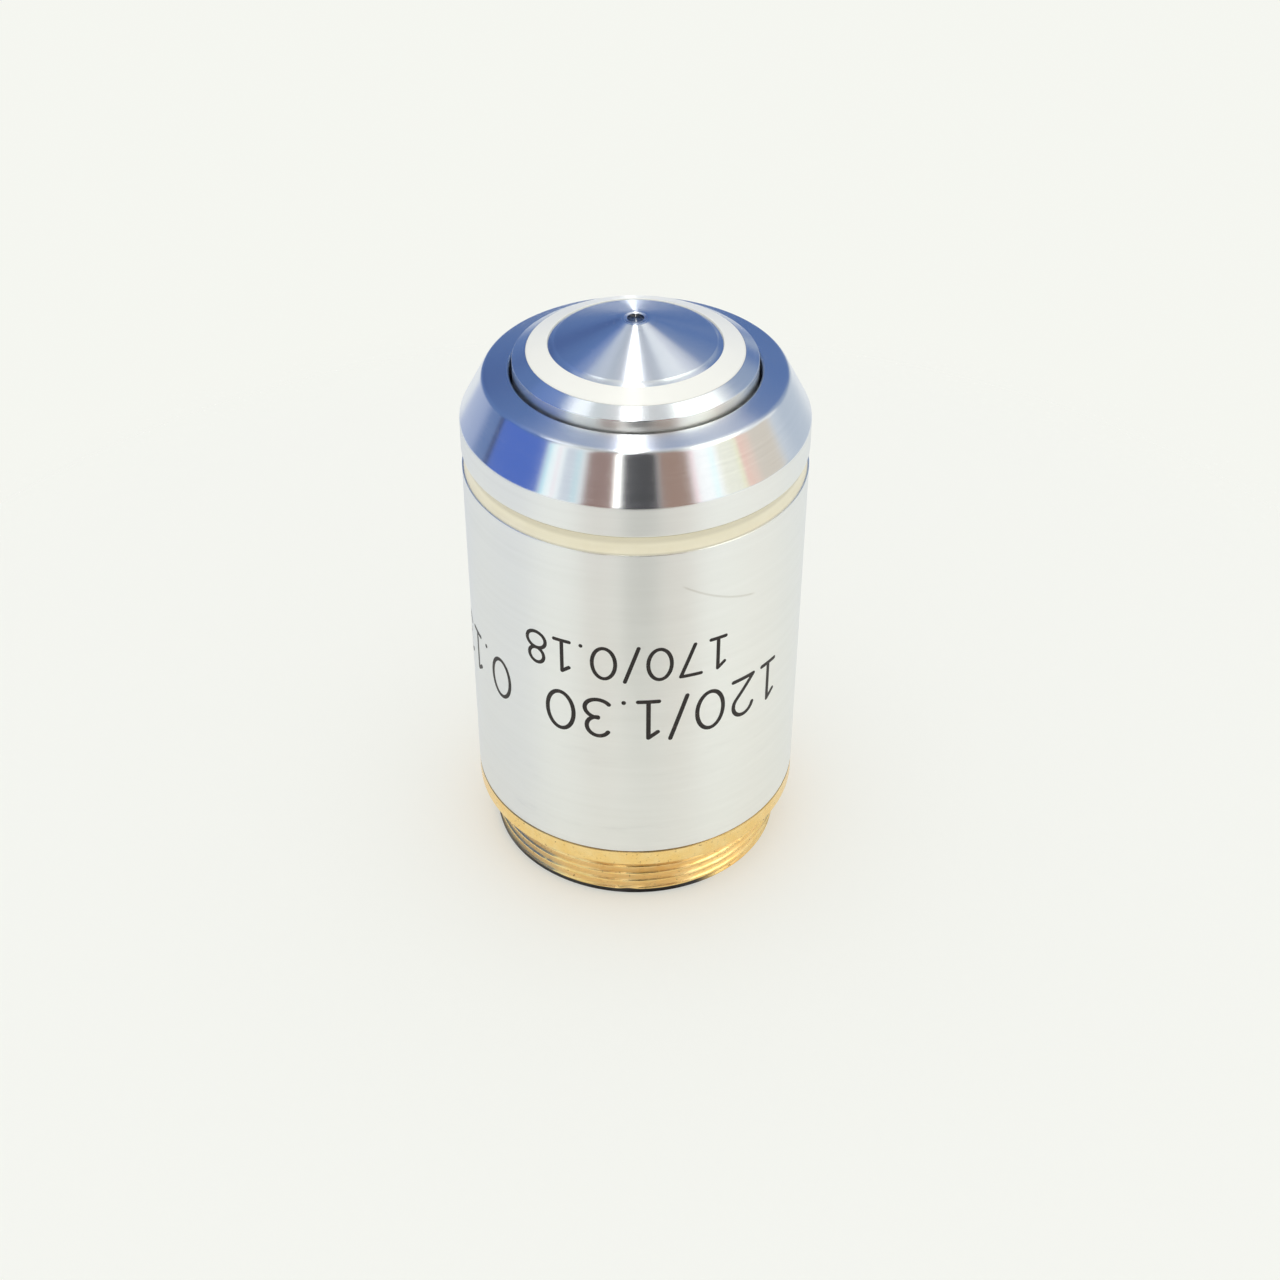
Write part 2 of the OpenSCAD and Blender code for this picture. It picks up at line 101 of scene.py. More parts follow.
# Sizes of the mounting thread
SHOULDER_W = 1.12
THREAD_R = SHELL_R - SHOULDER_W
THREAD_PITCH = 25.4 / 36
THREAD_DEPTH = 0.38 * THREAD_PITCH
THREAD_ROWS = 76
THREAD_CHAMFER = 0.1
UNDERCUT_DEPTH = 0.56
UNDERCUT_R = THREAD_R - UNDERCUT_DEPTH
UNDERCUT_W = 0.7
RELIEF_W = 0.14
RELIEF_DEPTH = 0.15
GUIDE_CLEARANCE = 0.03
GUIDE_BORE_R = BARREL_R + GUIDE_CLEARANCE
BLACK_BORE_TOP = 0.5
SCREW_R = 0.8
SCREW_RISE = 5.75
SCREW_Z = SLEEVE_FOOT + SCREW_RISE

# Sizes of the seam ring
SEAM_DROP = 0.1
SEAM_R = SHELL_R - SEAM_DROP
SEAM_HOLLOW = 0.22
SEAM_STEPS = 10

# Sizes of the nose
NOSE_R = radius("nose_cap")
NOSE_GAP = 0.2
NOSE_FOOT = foot("nose_cap")
TIP_Z = top("front_cell")
TIP_R = 0.95
RIM_H = 0.54
RIM_W = 0.88
CONE_H = 2.16
CONE_FOOT = TIP_Z - CONE_H
RIM_FOOT = CONE_FOOT - RIM_H
RING_OUTER_R = NOSE_R - RIM_W
RING_W = 1.38
RING_INNER_R = RING_OUTER_R - RING_W
RING_DEPTH = 0.3
RING_PROUD = 0.012
TIP_LAND_W = 0.4
TIP_HOLE_R = TIP_R + TIP_LAND_W
CONE_WALL = 0.7
CONE_EDGE_W = 0.42
CONE_EDGE_DROP = 0.11
NOSE_WALL = 0.8
SPIGOT_R = NOSE_R - NOSE_WALL
SPIGOT_WALL = 0.9
HEAD_R = SPIGOT_R - SPIGOT_WALL
CELL_COLLAR_H = 0.6
SHOULDER_Z = foot("front_cell") + CELL_COLLAR_H

# Sizes of the spring
SPRING_FOOT = foot("spring")
SPRING_TOP = top("spring")
SPRING_TURNS = 7
STEPS_A_TURN = 96
WIRE_R = 0.38
WIRE_SIDES = 20
COIL_R = (BARREL_R + SLEEVE_BORE_R) / 2

# Edges that a lathe leaves
EDGE_BREAK = 0.12
FINE_ROUND = 0.04

SEGMENTS = 360

# How far the digits stand over the sleeve's face, and how deep they reach under it
DIGIT_PROUD = 0.006
DIGIT_SUNK = 0.03


def cone_z(r):
    """Height of the nose's cone at the radius r."""
    return CONE_FOOT + CONE_H * (RING_OUTER_R - r) / (RING_OUTER_R - TIP_R)


# Node graphs
class Graph:
    """Short calls that build a node tree."""

    def __init__(self, tree):
        self.tree = tree
        tree.nodes.clear()

    def new(self, kind, settings=None, **inputs):
        """A node of that kind. Inputs are sockets to link or values to set, by name."""
        node = self.tree.nodes.new("ShaderNode" + kind)
        for key, value in (settings or {}).items():
            setattr(node, key, value)
        for key, value in inputs.items():
            self.put(node.inputs[key.replace("_", " ")], value)
        return node

    def put(self, socket, value):
        if isinstance(value, bpy.types.NodeSocket):
            self.tree.links.new(value, socket)
        else:
            socket.default_value = value

    def maths(self, operation, *values, clamp=False):
        node = self.new("Math", {"operation": operation, "use_clamp": clamp})
        for socket, value in zip(node.inputs, values):
            self.put(socket, value)
        return node.outputs[0]

    def span(self, value, low, high, start=0.0, end=1.0, smooth=False):
        """value taken from low..high to start..end, and clamped there."""
        kind = "SMOOTHSTEP" if smooth else "LINEAR"
        node = self.new("MapRange", {"interpolation_type": kind, "clamp": True}, Value=value)
        for name, number in (("From Min", low), ("From Max", high), ("To Min", start), ("To Max", end)):
            node.inputs[name].default_value = number
        return node.outputs[0]

    def blend(self, share, first, second):
        """A colour between two colours."""
        node = self.new("Mix", {"data_type": "RGBA"})
        self.put(node.inputs[0], share)
        self.put(node.inputs[6], rgba(first))
        self.put(node.inputs[7], rgba(second))
        return node.outputs[2]

    def vector(self, x, y, z):
        return self.new("CombineXYZ", X=x, Y=y, Z=z).outputs[0]

    def noise(self, vector, scale, detail=2.0, roughness=0.5):
        node = self.new("TexNoise", Vector=vector, Scale=scale, Detail=detail, Roughness=roughness)
        return node.outputs[0]

    def place(self):
        """x, y, z, radius and angle on the object, in millimetres and degrees."""
        coords = self.new("TexCoord").outputs["Object"]
        parts = self.new("SeparateXYZ", Vector=coords)
        x, y, z = (self.maths("MULTIPLY", parts.outputs[i], 1 / MM) for i in range(3))
        r = self.maths("SQRT", self.maths("ADD", self.maths("MULTIPLY", x, x), self.maths("MULTIPLY", y, y)))
        angle = self.maths("MULTIPLY", self.maths("ARCTAN2", y, x), math.degrees(1))
        return x, y, z, r, angle

    def bump(self, height, distance, strength=1.0):
        """A normal from a height that runs from 0 to 1 over that many millimetres."""
        node = self.new("Bump", Height=height, Strength=strength, Distance=distance * MM)
        return node.outputs[0]


def rgba(colour):
    """A socket as it is, or a colour of three values with its fourth."""
    if isinstance(colour, bpy.types.NodeSocket):
        return colour
    return (*colour[:3], 1.0)


def material(name, build):
    """A node material whose Principled inputs come from build(graph), as a dictionary."""
    made = bpy.data.materials.new(name)
    made.use_nodes = True
    graph = Graph(made.node_tree)
    shader = graph.new("BsdfPrincipled")
    for key, value in build(graph).items():
        graph.put(shader.inputs[key], rgba(value) if isinstance(value, tuple) and len(value) == 3 else value)
    out = graph.new("OutputMaterial")
    graph.tree.links.new(shader.outputs[0], out.inputs[0])
    return made


def lathe_lines(graph, lines_per_mm, drift=0.07):
    """Fine lines that run around the axis, as a turning tool leaves them."""
    x, y, z, r, _ = graph.place()
    across = graph.maths("MULTIPLY", graph.maths("ADD", x, y), drift)
    outward = graph.maths("MULTIPLY", r, lines_per_mm)
    upward = graph.maths("MULTIPLY", z, lines_per_mm)
    vector = graph.vector(outward, upward, across)
    return graph.noise(vector, 1.0, 3.0, 0.6)


def soft_spots(graph, scale, low, high):
    """Scattered soft spots over the surface, from 0 to 1."""
    x, y, z, _, _ = graph.place()
    return graph.span(graph.noise(graph.vector(x, y, z), scale, 4.0, 0.6), low, high, smooth=True)


def axis_tangent(graph):
    return graph.new("Tangent", {"direction_type": "RADIAL", "axis": "Z"}).outputs[0]


def polished_chrome(graph):
    """Bright turned chrome with a fine grain of lathe lines."""
    lines = lathe_lines(graph, 9.0)
    haze = graph.maths("MULTIPLY", soft_spots(graph, 0.35, 0.45, 0.75), 0.03)
    return {
        "Base Color": graph.blend(lines, (0.80, 0.82, 0.84), (0.88, 0.89, 0.90)),
        "Metallic": 1.0,
        "Roughness": graph.maths("ADD", graph.span(lines, 0.3, 0.8, 0.17, 0.23), haze),
        "Anisotropic": 0.9,
        "Anisotropic Rotation": 0.25,
        "Tangent": axis_tangent(graph),
        "Normal": graph.bump(lines, 0.0015, 0.5),
    }


def faced_chrome(graph):
    """Chrome over a faced surface, whose rings spread a highlight into a radial streak."""
    lines = lathe_lines(graph, 16.0, 0.02)
    return {
        "Base Color": graph.blend(lines, (0.82, 0.84, 0.86), (0.86, 0.87, 0.89)),
        "Metallic": 1.0,
        "Roughness": graph.span(lines, 0.3, 0.8, 0.235, 0.265),
        "Anisotropic": 1.0,
        "Anisotropic Rotation": 0.25,
        "Tangent": axis_tangent(graph),
        "Normal": graph.bump(lines, 0.0006, 0.4),
    }


def satin_marks(graph):
    """Faint grey rubs on the satin sleeve, drawn out around the axis."""
    x, y, z, _, _ = graph.place()
    stretched = graph.vector(
        graph.maths("MULTIPLY", x, 0.18),
        graph.maths("MULTIPLY", y, 0.18),
        graph.maths("MULTIPLY", z, 0.9),
    )
    rubs = graph.span(graph.noise(stretched, 1.3, 5.0, 0.62), 0.56, 0.78, smooth=True)
    low_down = graph.span(z, 14.0, 6.0, 0.25, 1.0, smooth=True)
    return graph.maths("MULTIPLY", rubs, low_down)


def stain_line(graph):
    """One faint hair-thin curved mark that falls to the right on the upper sleeve."""
    _, _, z, _, angle = graph.place()
    along = graph.span(angle, -76.0, -47.0, -1.0, 1.0)
    sag = graph.maths("MULTIPLY", graph.maths("SUBTRACT", 1.0, graph.maths("MULTIPLY", along, along)), 0.35)
    height = graph.maths("SUBTRACT", graph.span(along, -1.0, 1.0, 23.7, 21.2), sag)
    off = graph.maths("ABSOLUTE", graph.maths("SUBTRACT", z, height))
    ends = graph.span(graph.maths("ABSOLUTE", along), 0.99, 0.8, smooth=True)
    return graph.maths("MULTIPLY", graph.span(off, 0.12, 0.03, smooth=True), ends)


def satin_chrome(graph):
    """Satin chrome with a brushed grain around the axis, rubs and a faint stain."""
    fine = lathe_lines(graph, 14.0, 0.3)
    broad = lathe_lines(graph, 2.2, 0.12)
    rubs = satin_marks(graph)
    stain = stain_line(graph)
    grain = graph.blend(graph.span(broad, 0.3, 0.7), (0.885, 0.888, 0.855), (0.910, 0.913, 0.882))
    rubbed = graph.blend(graph.maths("MULTIPLY", rubs, 0.15), grain, (0.60, 0.60, 0.585))
    marked = graph.blend(graph.maths("MULTIPLY", stain, 0.35), rubbed, (0.50, 0.47, 0.40))
    duller = graph.maths("MULTIPLY", rubs, 0.03)
    return {
        "Base Color": marked,
        "Metallic": 1.0,
        "Roughness": graph.maths("ADD", graph.span(fine, 0.3, 0.7, 0.31, 0.37), duller),
        "Anisotropic": 0.8,
        "Anisotropic Rotation": 0.25,
        "Tangent": axis_tangent(graph),
        "Normal": graph.bump(fine, 0.0015, 0.35),
    }


def worn_brass(graph):
    """Golden brass with dark specks, a deeper orange painted shade in the thread's grooves, matt there and
    bright on its crests.
    """
    x, y, z, r, angle = graph.place()
    lines = lathe_lines(graph, 10.0, 0.2)
    cloud = graph.span(graph.noise(graph.vector(x, y, z), 0.55, 4.0, 0.6), 0.38, 0.66, smooth=True)
    golden = graph.blend(cloud, (0.965, 0.67, 0.25), (0.985, 0.74, 0.34))
    crest = graph.span(r, THREAD_R - THREAD_DEPTH * 0.75, THREAD_R - 0.05, smooth=True)
    in_thread = graph.span(z, -0.05, -0.35, smooth=True)
    groove = graph.maths("MULTIPLY", graph.maths("SUBTRACT", 1.0, crest), in_thread)
    # A deeper orange in the grooves: painted shade, for the light that the flanks throw onto each other.
    toned = graph.blend(graph.maths("MULTIPLY", groove, 0.5), golden, (0.99, 0.68, 0.28))
    specks = graph.span(graph.noise(graph.vector(x, y, z), 4.6, 3.0, 0.7), 0.625, 0.70, smooth=True)
    specked = graph.blend(graph.maths("MULTIPLY", specks, 0.75), toned, (0.16, 0.09, 0.04))
    under = graph.span(z, SLEEVE_FOOT - 0.08, SLEEVE_FOOT - 0.01, smooth=True)
    joint = graph.blend(graph.maths("MULTIPLY", under, 0.5), specked, (0.30, 0.20, 0.09))
    # Black over the lowest part of the thread, on the front and left side only and fading out towards -52
    # degrees: a painted contact shadow.
    painted_shadow_band = graph.span(z, THREAD_END + 0.46, THREAD_END + 0.38, smooth=True)
    end = graph.maths("MULTIPLY", painted_shadow_band, graph.span(angle, -66.0, -52.0, 1.0, 0.0, smooth=True))
    bright = graph.maths("SUBTRACT", 1.0, graph.maths("MULTIPLY", groove, 0.45))
    dull = graph.maths("ADD", graph.maths("MULTIPLY", specks, 0.2), graph.maths("MULTIPLY", groove, 0.24))
    pitted = graph.maths("SUBTRACT", lines, graph.maths("MULTIPLY", specks, 1.5))
    return {
        "Base Color": graph.blend(end, joint, (0.012, 0.011, 0.010)),
        "Metallic": graph.maths("SUBTRACT", bright, end, clamp=True),
        "Roughness": graph.maths("ADD", graph.span(lines, 0.3, 0.7, 0.19, 0.28), dull),
        "Anisotropic": 0.5,
        "Anisotropic Rotation": 0.25,
        "Tangent": axis_tangent(graph),
        "Normal": graph.bump(pitted, 0.006, 0.6),
    }


def black_end(graph):
    """Matt black inside and at the end of the mounting thread."""
    grain = soft_spots(graph, 3.0, 0.3, 0.7)
    return {
        "Base Color": graph.blend(grain, (0.010, 0.010, 0.010), (0.022, 0.021, 0.020)),
        "Roughness": graph.span(grain, 0.0, 1.0, 0.45, 0.6),
    }


def seam_enamel(graph):
    """Pale yellow enamel with painted shade: darker over its upper half, where the hollow faces down, and a
    thin darker line along its lower edge, where it meets the sleeve.
    """
    x, y, z, _, _ = graph.place()
    tone = graph.span(graph.noise(graph.vector(x, y, z), 0.8, 4.0, 0.6), 0.35, 0.7)
    middle = (SLEEVE_TOP + BAND_FOOT) / 2
    # The upper half takes a darker copy of the cream: painted shade, where the hollow wall faces down.
    upper = graph.span(z, middle - 0.12, middle + 0.22, smooth=True)
    cream = graph.blend(tone, (0.91, 0.85, 0.63), (0.94, 0.885, 0.675))
    enamel = graph.blend(upper, cream, (0.755, 0.70, 0.52))
    # A thin darker line along the lower edge, where the ring meets the sleeve: painted shade.
    painted_joint_shade = graph.span(z, SLEEVE_TOP + 0.10, SLEEVE_TOP + 0.01, smooth=True)
    return {
        "Base Color": graph.blend(graph.maths("MULTIPLY", painted_joint_shade, 0.35), enamel, (0.40, 0.40, 0.38)),
        "Roughness": graph.span(tone, 0.0, 1.0, 0.28, 0.38),
        "Coat Weight": 0.3,
        "Coat Roughness": 0.15,
    }


def white_enamel(graph):
    """Warm white enamel, a little uneven, with painted shade along its outer edge, at its step to the rim.
    """
    x, y, z, r, _ = graph.place()
    tone = graph.span(graph.noise(graph.vector(x, y, z), 0.6, 2.0, 0.5), 0.3, 0.7, smooth=True)
    enamel = graph.blend(tone, (0.94, 0.94, 0.87), (0.95, 0.95, 0.88))
    # Darker towards the outer edge: painted shade at the step to the rim.
    edge = graph.span(r, RING_OUTER_R - 0.10, RING_OUTER_R, smooth=True)
    return {
        "Base Color": graph.blend(graph.maths("MULTIPLY", edge, 0.35), enamel, (0.62, 0.60, 0.55)),
        "Roughness": 0.35,
        "Coat Weight": 0.4,
        "Coat Roughness": 0.12,
    }


def engraving_black(graph):
    """Dark brown-black paint in the engraved digits, thinner in places."""
    x, y, z, _, _ = graph.place()
    wear = graph.span(graph.noise(graph.vector(x, y, z), 3.2, 4.0, 0.65), 0.52, 0.8, smooth=True)
    return {
        "Base Color": graph.blend(wear, (0.020, 0.015, 0.013), (0.085, 0.062, 0.050)),
        "Roughness": graph.span(wear, 0.0, 1.0, 0.42, 0.6),
        "Specular IOR Level": 0.3,
    }


def plain_metal(dark, light, rough):
    """A turned inner metal between two tones."""
    def build(graph):
        lines = lathe_lines(graph, 7.0)
        return {
            "Base Color": graph.blend(lines, dark, light),
            "Metallic": 1.0,
            "Roughness": graph.span(lines, 0.3, 0.7, rough, rough + 0.1),
            "Normal": graph.bump(lines, 0.004, 0.5),
        }
    return build


def anodised_black(graph):
    """Matt black of the inner parts, a little greyer on its edges and rubs."""
    lines = lathe_lines(graph, 6.0)
    rub = soft_spots(graph, 1.2, 0.55, 0.8)
    return {
        "Base Color": graph.blend(rub, (0.018, 0.018, 0.019), (0.060, 0.058, 0.055)),
        "Metallic": 0.3,
        "Roughness": graph.span(lines, 0.3, 0.7, 0.42, 0.55),
        "Normal": graph.bump(lines, 0.004, 0.5),
    }


def tip_glass(graph):
    """The front lens, tinted dark grey as painted shade and a little hollow, with the bright burnished edge
    of its seat.
    """
    _, _, z, r, _ = graph.place()
    on_face = graph.span(z, TIP_Z - 0.03, TIP_Z - 0.01)
    seat = graph.maths("MULTIPLY", graph.span(r, 0.52, 0.56), on_face)
    return {
        # The dark grey tint of the glass is painted shade, standing for the dark inside seen through the
        # lens.
        "Base Color": graph.blend(seat, (0.30, 0.31, 0.34), (0.84, 0.85, 0.87)),
        "Metallic": seat,
        "Roughness": graph.maths("MULTIPLY", seat, 0.28),
        "IOR": 1.75,
        "Transmission Weight": graph.maths("SUBTRACT", 1.0, seat),
        "Normal": graph.bump(graph.maths("MULTIPLY", graph.span(r, 0.0, 0.8), on_face), 0.29),
    }


def optical_glass(tint, ior):
    """Polished glass with a faint trace of dust."""
    def build(graph):
        dust = soft_spots(graph, 4.0, 0.62, 0.8)
        return {
            "Base Color": tint,
            "Roughness": graph.maths("MULTIPLY", dust, 0.05),
            "IOR": ior,
            "Transmission Weight": 1.0,
        }
    return build


MATERIALS = {
    "polished_chrome": material("polished_chrome", polished_chrome),
    "faced_chrome": material("faced_chrome", faced_chrome),
    "satin_chrome": material("satin_chrome", satin_chrome),
    "worn_brass": material("worn_brass", worn_brass),
    "black_end": material("black_end", black_end),
    "seam_enamel": material("seam_enamel", seam_enamel),
    "white_enamel": material("white_enamel", white_enamel),
    "engraving_black": material("engraving_black", engraving_black),
    "anodised_black": material("anodised_black", anodised_black),
    "inner_brass": material("inner_brass", plain_metal((0.70, 0.50, 0.22), (0.82, 0.62, 0.32), 0.28)),
    "turned_steel": material("turned_steel", plain_metal((0.48, 0.49, 0.50), (0.62, 0.63, 0.64), 0.25)),
    "spring_wire": material("spring_wire", plain_metal((0.36, 0.37, 0.38), (0.50, 0.50, 0.51), 0.30)),
    "tip_glass": material("tip_glass", tip_glass),
    "crown_glass": material("crown_glass", optical_glass((0.97, 0.99, 0.99), 1.52)),
    "flint_glass": material("flint_glass", optical_glass((0.98, 0.98, 0.96), 1.62)),
}


# Turned pieces
class Corner:
    """A point of a turned profile, with the radius of the round at that corner."""

    def __init__(self, r, z, round_r=FINE_ROUND):
        self.at = Vector((r, z))
        self.round_r = round_r


def rounded(corners, steps=4):
    """The closed profile with its corners rounded, and a support point beside each round."""
    points = []
    count = len(corners)
    for i, corner in enumerate(corners):
        back = (corners[i - 1].at - corner.at)
        ahead = (corners[(i + 1) % count].at - corner.at)
        reach = min(corner.round_r, 0.35 * back.length, 0.35 * ahead.length)
        start = corner.at + back.normalized() * reach
        end = corner.at + ahead.normalized() * reach
        support = 0.3 * reach
        points.append(start + back.normalized() * support)
        for step in range(steps + 1):
            t = step / steps
            points.append(start * (1 - t) ** 2 + corner.at * 2 * t * (1 - t) + end * t ** 2)
        points.append(end + ahead.normalized() * support)
    return points


def smooth_object(name, mesh, sharp_angle=40.0):
    """An object of that mesh, in metres, with smooth faces and sharp creases."""
    mesh.transform(Matrix.Scale(MM, 4))
    mesh.polygons.foreach_set("use_smooth", [True] * len(mesh.polygons))
    mesh.set_sharp_from_angle(angle=math.radians(sharp_angle))
    piece = bpy.data.objects.new(name, mesh)
    bpy.context.scene.collection.objects.link(piece)
    return piece


def ring_mesh(name, profile, displace=None, segments=SEGMENTS):
    """A closed ring mesh from a closed profile. displace(r, z, angle) gives each point's radius."""
    verts = []
    for i in range(segments):
        angle = 2 * math.pi * i / segments
        for point in profile:
            r = displace(point.x, point.y, angle) if displace else point.x
            verts.append((r * math.cos(angle), r * math.sin(angle), point.y))
    count = len(profile)
    faces = []
    for i in range(segments):
        j = (i + 1) % segments
        for k in range(count):
            n = (k + 1) % count
            faces.append((i * count + k, j * count + k, j * count + n, i * count + n))
    mesh = bpy.data.meshes.new(name)
    mesh.from_pydata(verts, [], faces)
    mesh.validate()
    work = bmesh.new()
    work.from_mesh(mesh)
    bmesh.ops.recalc_face_normals(work, faces=work.faces)
    work.to_mesh(mesh)
    work.free()
    return mesh


def dress(piece, names, choose=None):
    """Gives a piece its materials. choose(r, z) picks one of them for each face, in millimetres."""
    for name in names:
        piece.data.materials.append(MATERIALS[name])
    if choose:
        for face in piece.data.polygons:
            centre = face.center / MM
            face.material_index = choose(math.hypot(centre.x, centre.y), centre.z)


def turned_piece(name, node, body, corners, names, choose=None):
    """A turned piece that stands for a solid."""
    piece = smooth_object(name, ring_mesh(name, rounded(corners)))
    dress(piece, names, choose)
    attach(piece, body)
    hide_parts(node)
    return piece


def make_sleeve():
    corners = [
        Corner(SLEEVE_BORE_R, SLEEVE_FOOT),
        Corner(SHELL_R - EDGE_BREAK, SLEEVE_FOOT),
        Corner(SHELL_R, SLEEVE_FOOT + EDGE_BREAK, 0.08),
        Corner(SHELL_R, SLEEVE_TOP, 0.05),
        Corner(SLEEVE_BORE_R, SLEEVE_TOP),
    ]
    return turned_piece("satin_sleeve", "sleeve", "shell", corners, ["satin_chrome"])


def make_seam():
    """The seam ring, whose outer wall is hollow like a groove."""
    middle = (SLEEVE_TOP + BAND_FOOT) / 2
    half = (BAND_FOOT - SLEEVE_TOP) / 2
    corners = [Corner(SLEEVE_BORE_R, SLEEVE_TOP)]
    for i in range(SEAM_STEPS + 1):
        share = 2 * i / SEAM_STEPS - 1
        corners.append(Corner(SEAM_R - SEAM_HOLLOW * (1 - share * share), middle + half * share, 0.0))
    corners.append(Corner(SLEEVE_BORE_R, BAND_FOOT))
    return turned_piece("seam_enamel_ring", "seam_ring", "shell", corners, ["seam_enamel"])


def make_cap():
    corners = [
        Corner(BARREL_R + SKIRT_GAP, CAP_FOOT),
        Corner(SLEEVE_BORE_R, CAP_FOOT),
        Corner(SLEEVE_BORE_R, BAND_FOOT),
        Corner(SHELL_R - EDGE_BREAK, BAND_FOOT),
        Corner(SHELL_R, BAND_FOOT + EDGE_BREAK, 0.08),
        Corner(SHELL_R, BEVEL_FOOT, 0.10),
        Corner(CAP_FACE_R + EDGE_BREAK / 3, BEVEL_TOP, 0.22),
        Corner(NOSE_R + NOSE_GAP + EDGE_BREAK, CAP_TOP, 0.05),
        Corner(NOSE_R + NOSE_GAP, CAP_TOP - EDGE_BREAK, 0.05),
        Corner(NOSE_R + NOSE_GAP, BEVEL_TOP - CAP_LIP_T),
        Corner(BARREL_R + SKIRT_GAP, BEVEL_TOP - CAP_LIP_T),
    ]

    def finish(r, z):
        if r < CAP_FACE_R and z > CAP_TOP - 1.2:
            return 1
        if z > BEVEL_FOOT - 0.02 and r > NOSE_R + NOSE_GAP + 0.5:
            return 0
        return 2 if r > SHELL_R - 0.3 else 3

    names = ["polished_chrome", "faced_chrome", "satin_chrome", "anodised_black"]
    return turned_piece("bevelled_cap", "front_cap", "shell", corners, names, finish)


def make_nose():
    corners = [
        Corner(SPIGOT_R, NOSE_FOOT),
        Corner(NOSE_R - EDGE_BREAK, NOSE_FOOT),
        Corner(NOSE_R, NOSE_FOOT + EDGE_BREAK),
        Corner(NOSE_R, RIM_FOOT, 0.04),
        Corner(RING_OUTER_R, CONE_FOOT, 0.03),
        Corner(RING_OUTER_R, CONE_FOOT - RING_DEPTH, 0.0),
        Corner(RING_INNER_R, cone_z(RING_INNER_R) - RING_DEPTH, 0.0),
        Corner(RING_INNER_R, cone_z(RING_INNER_R) - CONE_EDGE_DROP, 0.0),
        Corner(RING_INNER_R - CONE_EDGE_W, cone_z(RING_INNER_R - CONE_EDGE_W), 0.03),
        Corner(TIP_HOLE_R, cone_z(TIP_HOLE_R), 0.03),
        Corner(TIP_HOLE_R, cone_z(TIP_HOLE_R) - CONE_WALL),
        Corner(HEAD_R, cone_z(HEAD_R) - CONE_WALL),
        Corner(HEAD_R, SHOULDER_Z),
        Corner(SPIGOT_R, SHOULDER_Z),
    ]

    def finish(r, z):
        if r < RING_INNER_R - CONE_EDGE_W and z > cone_z(r) - 0.1:
            return 1
        return 2 if r > NOSE_R - 0.05 and z < RIM_FOOT - 0.06 else 0

    names = ["polished_chrome", "faced_chrome", "satin_chrome"]
    return turned_piece("sprung_nose_cone", "nose_cap", "nose", corners, names, finish)


def make_code_ring():
    corners = [
        Corner(RING_INNER_R, cone_z(RING_INNER_R) + RING_PROUD, 0.06),
        Corner(RING_INNER_R, cone_z(RING_INNER_R) - RING_DEPTH, 0.0),
        Corner(RING_OUTER_R, CONE_FOOT - RING_DEPTH, 0.0),
        Corner(RING_OUTER_R, CONE_FOOT + RING_PROUD, 0.06),
    ]
    return turned_piece("white_code_ring", "code_ring", "nose", corners, ["white_enamel"])


# The threaded mount
def smooth_share(value, low, high):
    """0 at low, 1 at high, and smooth between them."""
    t = min(1.0, max(0.0, (value - low) / (high - low)))
    return t * t * (3 - 2 * t)


def thread_cut(z, angle):
    """Depth of the thread below its crests, for a 55 degree thread with rounded form."""
    turn = (z / THREAD_PITCH - angle / (2 * math.pi)) % 1.0
    wave = abs(2 * turn - 1)
    round_share = 0.16
    flank = min(1.0, max(0.0, (wave - round_share) / (1 - 2 * round_share)))
    soft = 0.75 * flank + 0.25 * smooth_share(flank, 0.0, 1.0)
    run_in = smooth_share(z, THREAD_END, THREAD_END + 0.4)
    run_out = smooth_share(z, -UNDERCUT_W + 0.02, -UNDERCUT_W - 0.3)
    return THREAD_DEPTH * soft * run_in * run_out


# Dents in the thread: angle and width in degrees, then height and depth
THREAD_DENTS = (
    (-92.5, 9.0, -3.35, 0.10),
    (-128.0, 3.0, -2.6, 0.05),
    (-44.0, 2.5, -1.9, 0.06),
    (70.0, 3.0, -2.8, 0.06),
)
DENT_HALF_H = 0.15
RUB_DEPTH = 0.012


def thread_wear(z, angle):
    """Depth of the dents and rubbed spots along the crests."""
    depth = 0.0
    for degrees, width, height, deep in THREAD_DENTS:
        off = (math.degrees(angle) - degrees + 180) % 360 - 180
        depth += deep * math.exp(-(off / (width / 3)) ** 2 - ((z - height) / DENT_HALF_H) ** 2)
    broad = math.sin(7 * angle + 5 * z) * math.sin(3 * angle - 11 * z)
    fine = math.sin(31 * angle + 9 * z) * math.sin(19 * angle - 23 * z)
    return depth + RUB_DEPTH * (broad + fine)


def mount_displace(r, z, angle):
    """The radius of a point of the mount, with the thread cut into the crests' cylinder."""
    on_crests = THREAD_END < z < -UNDERCUT_W and r > THREAD_R - THREAD_CHAMFER - 0.01
    if on_crests:
        return min(r, THREAD_R - thread_cut(z, angle) - max(0.0, thread_wear(z, angle)))
    return r


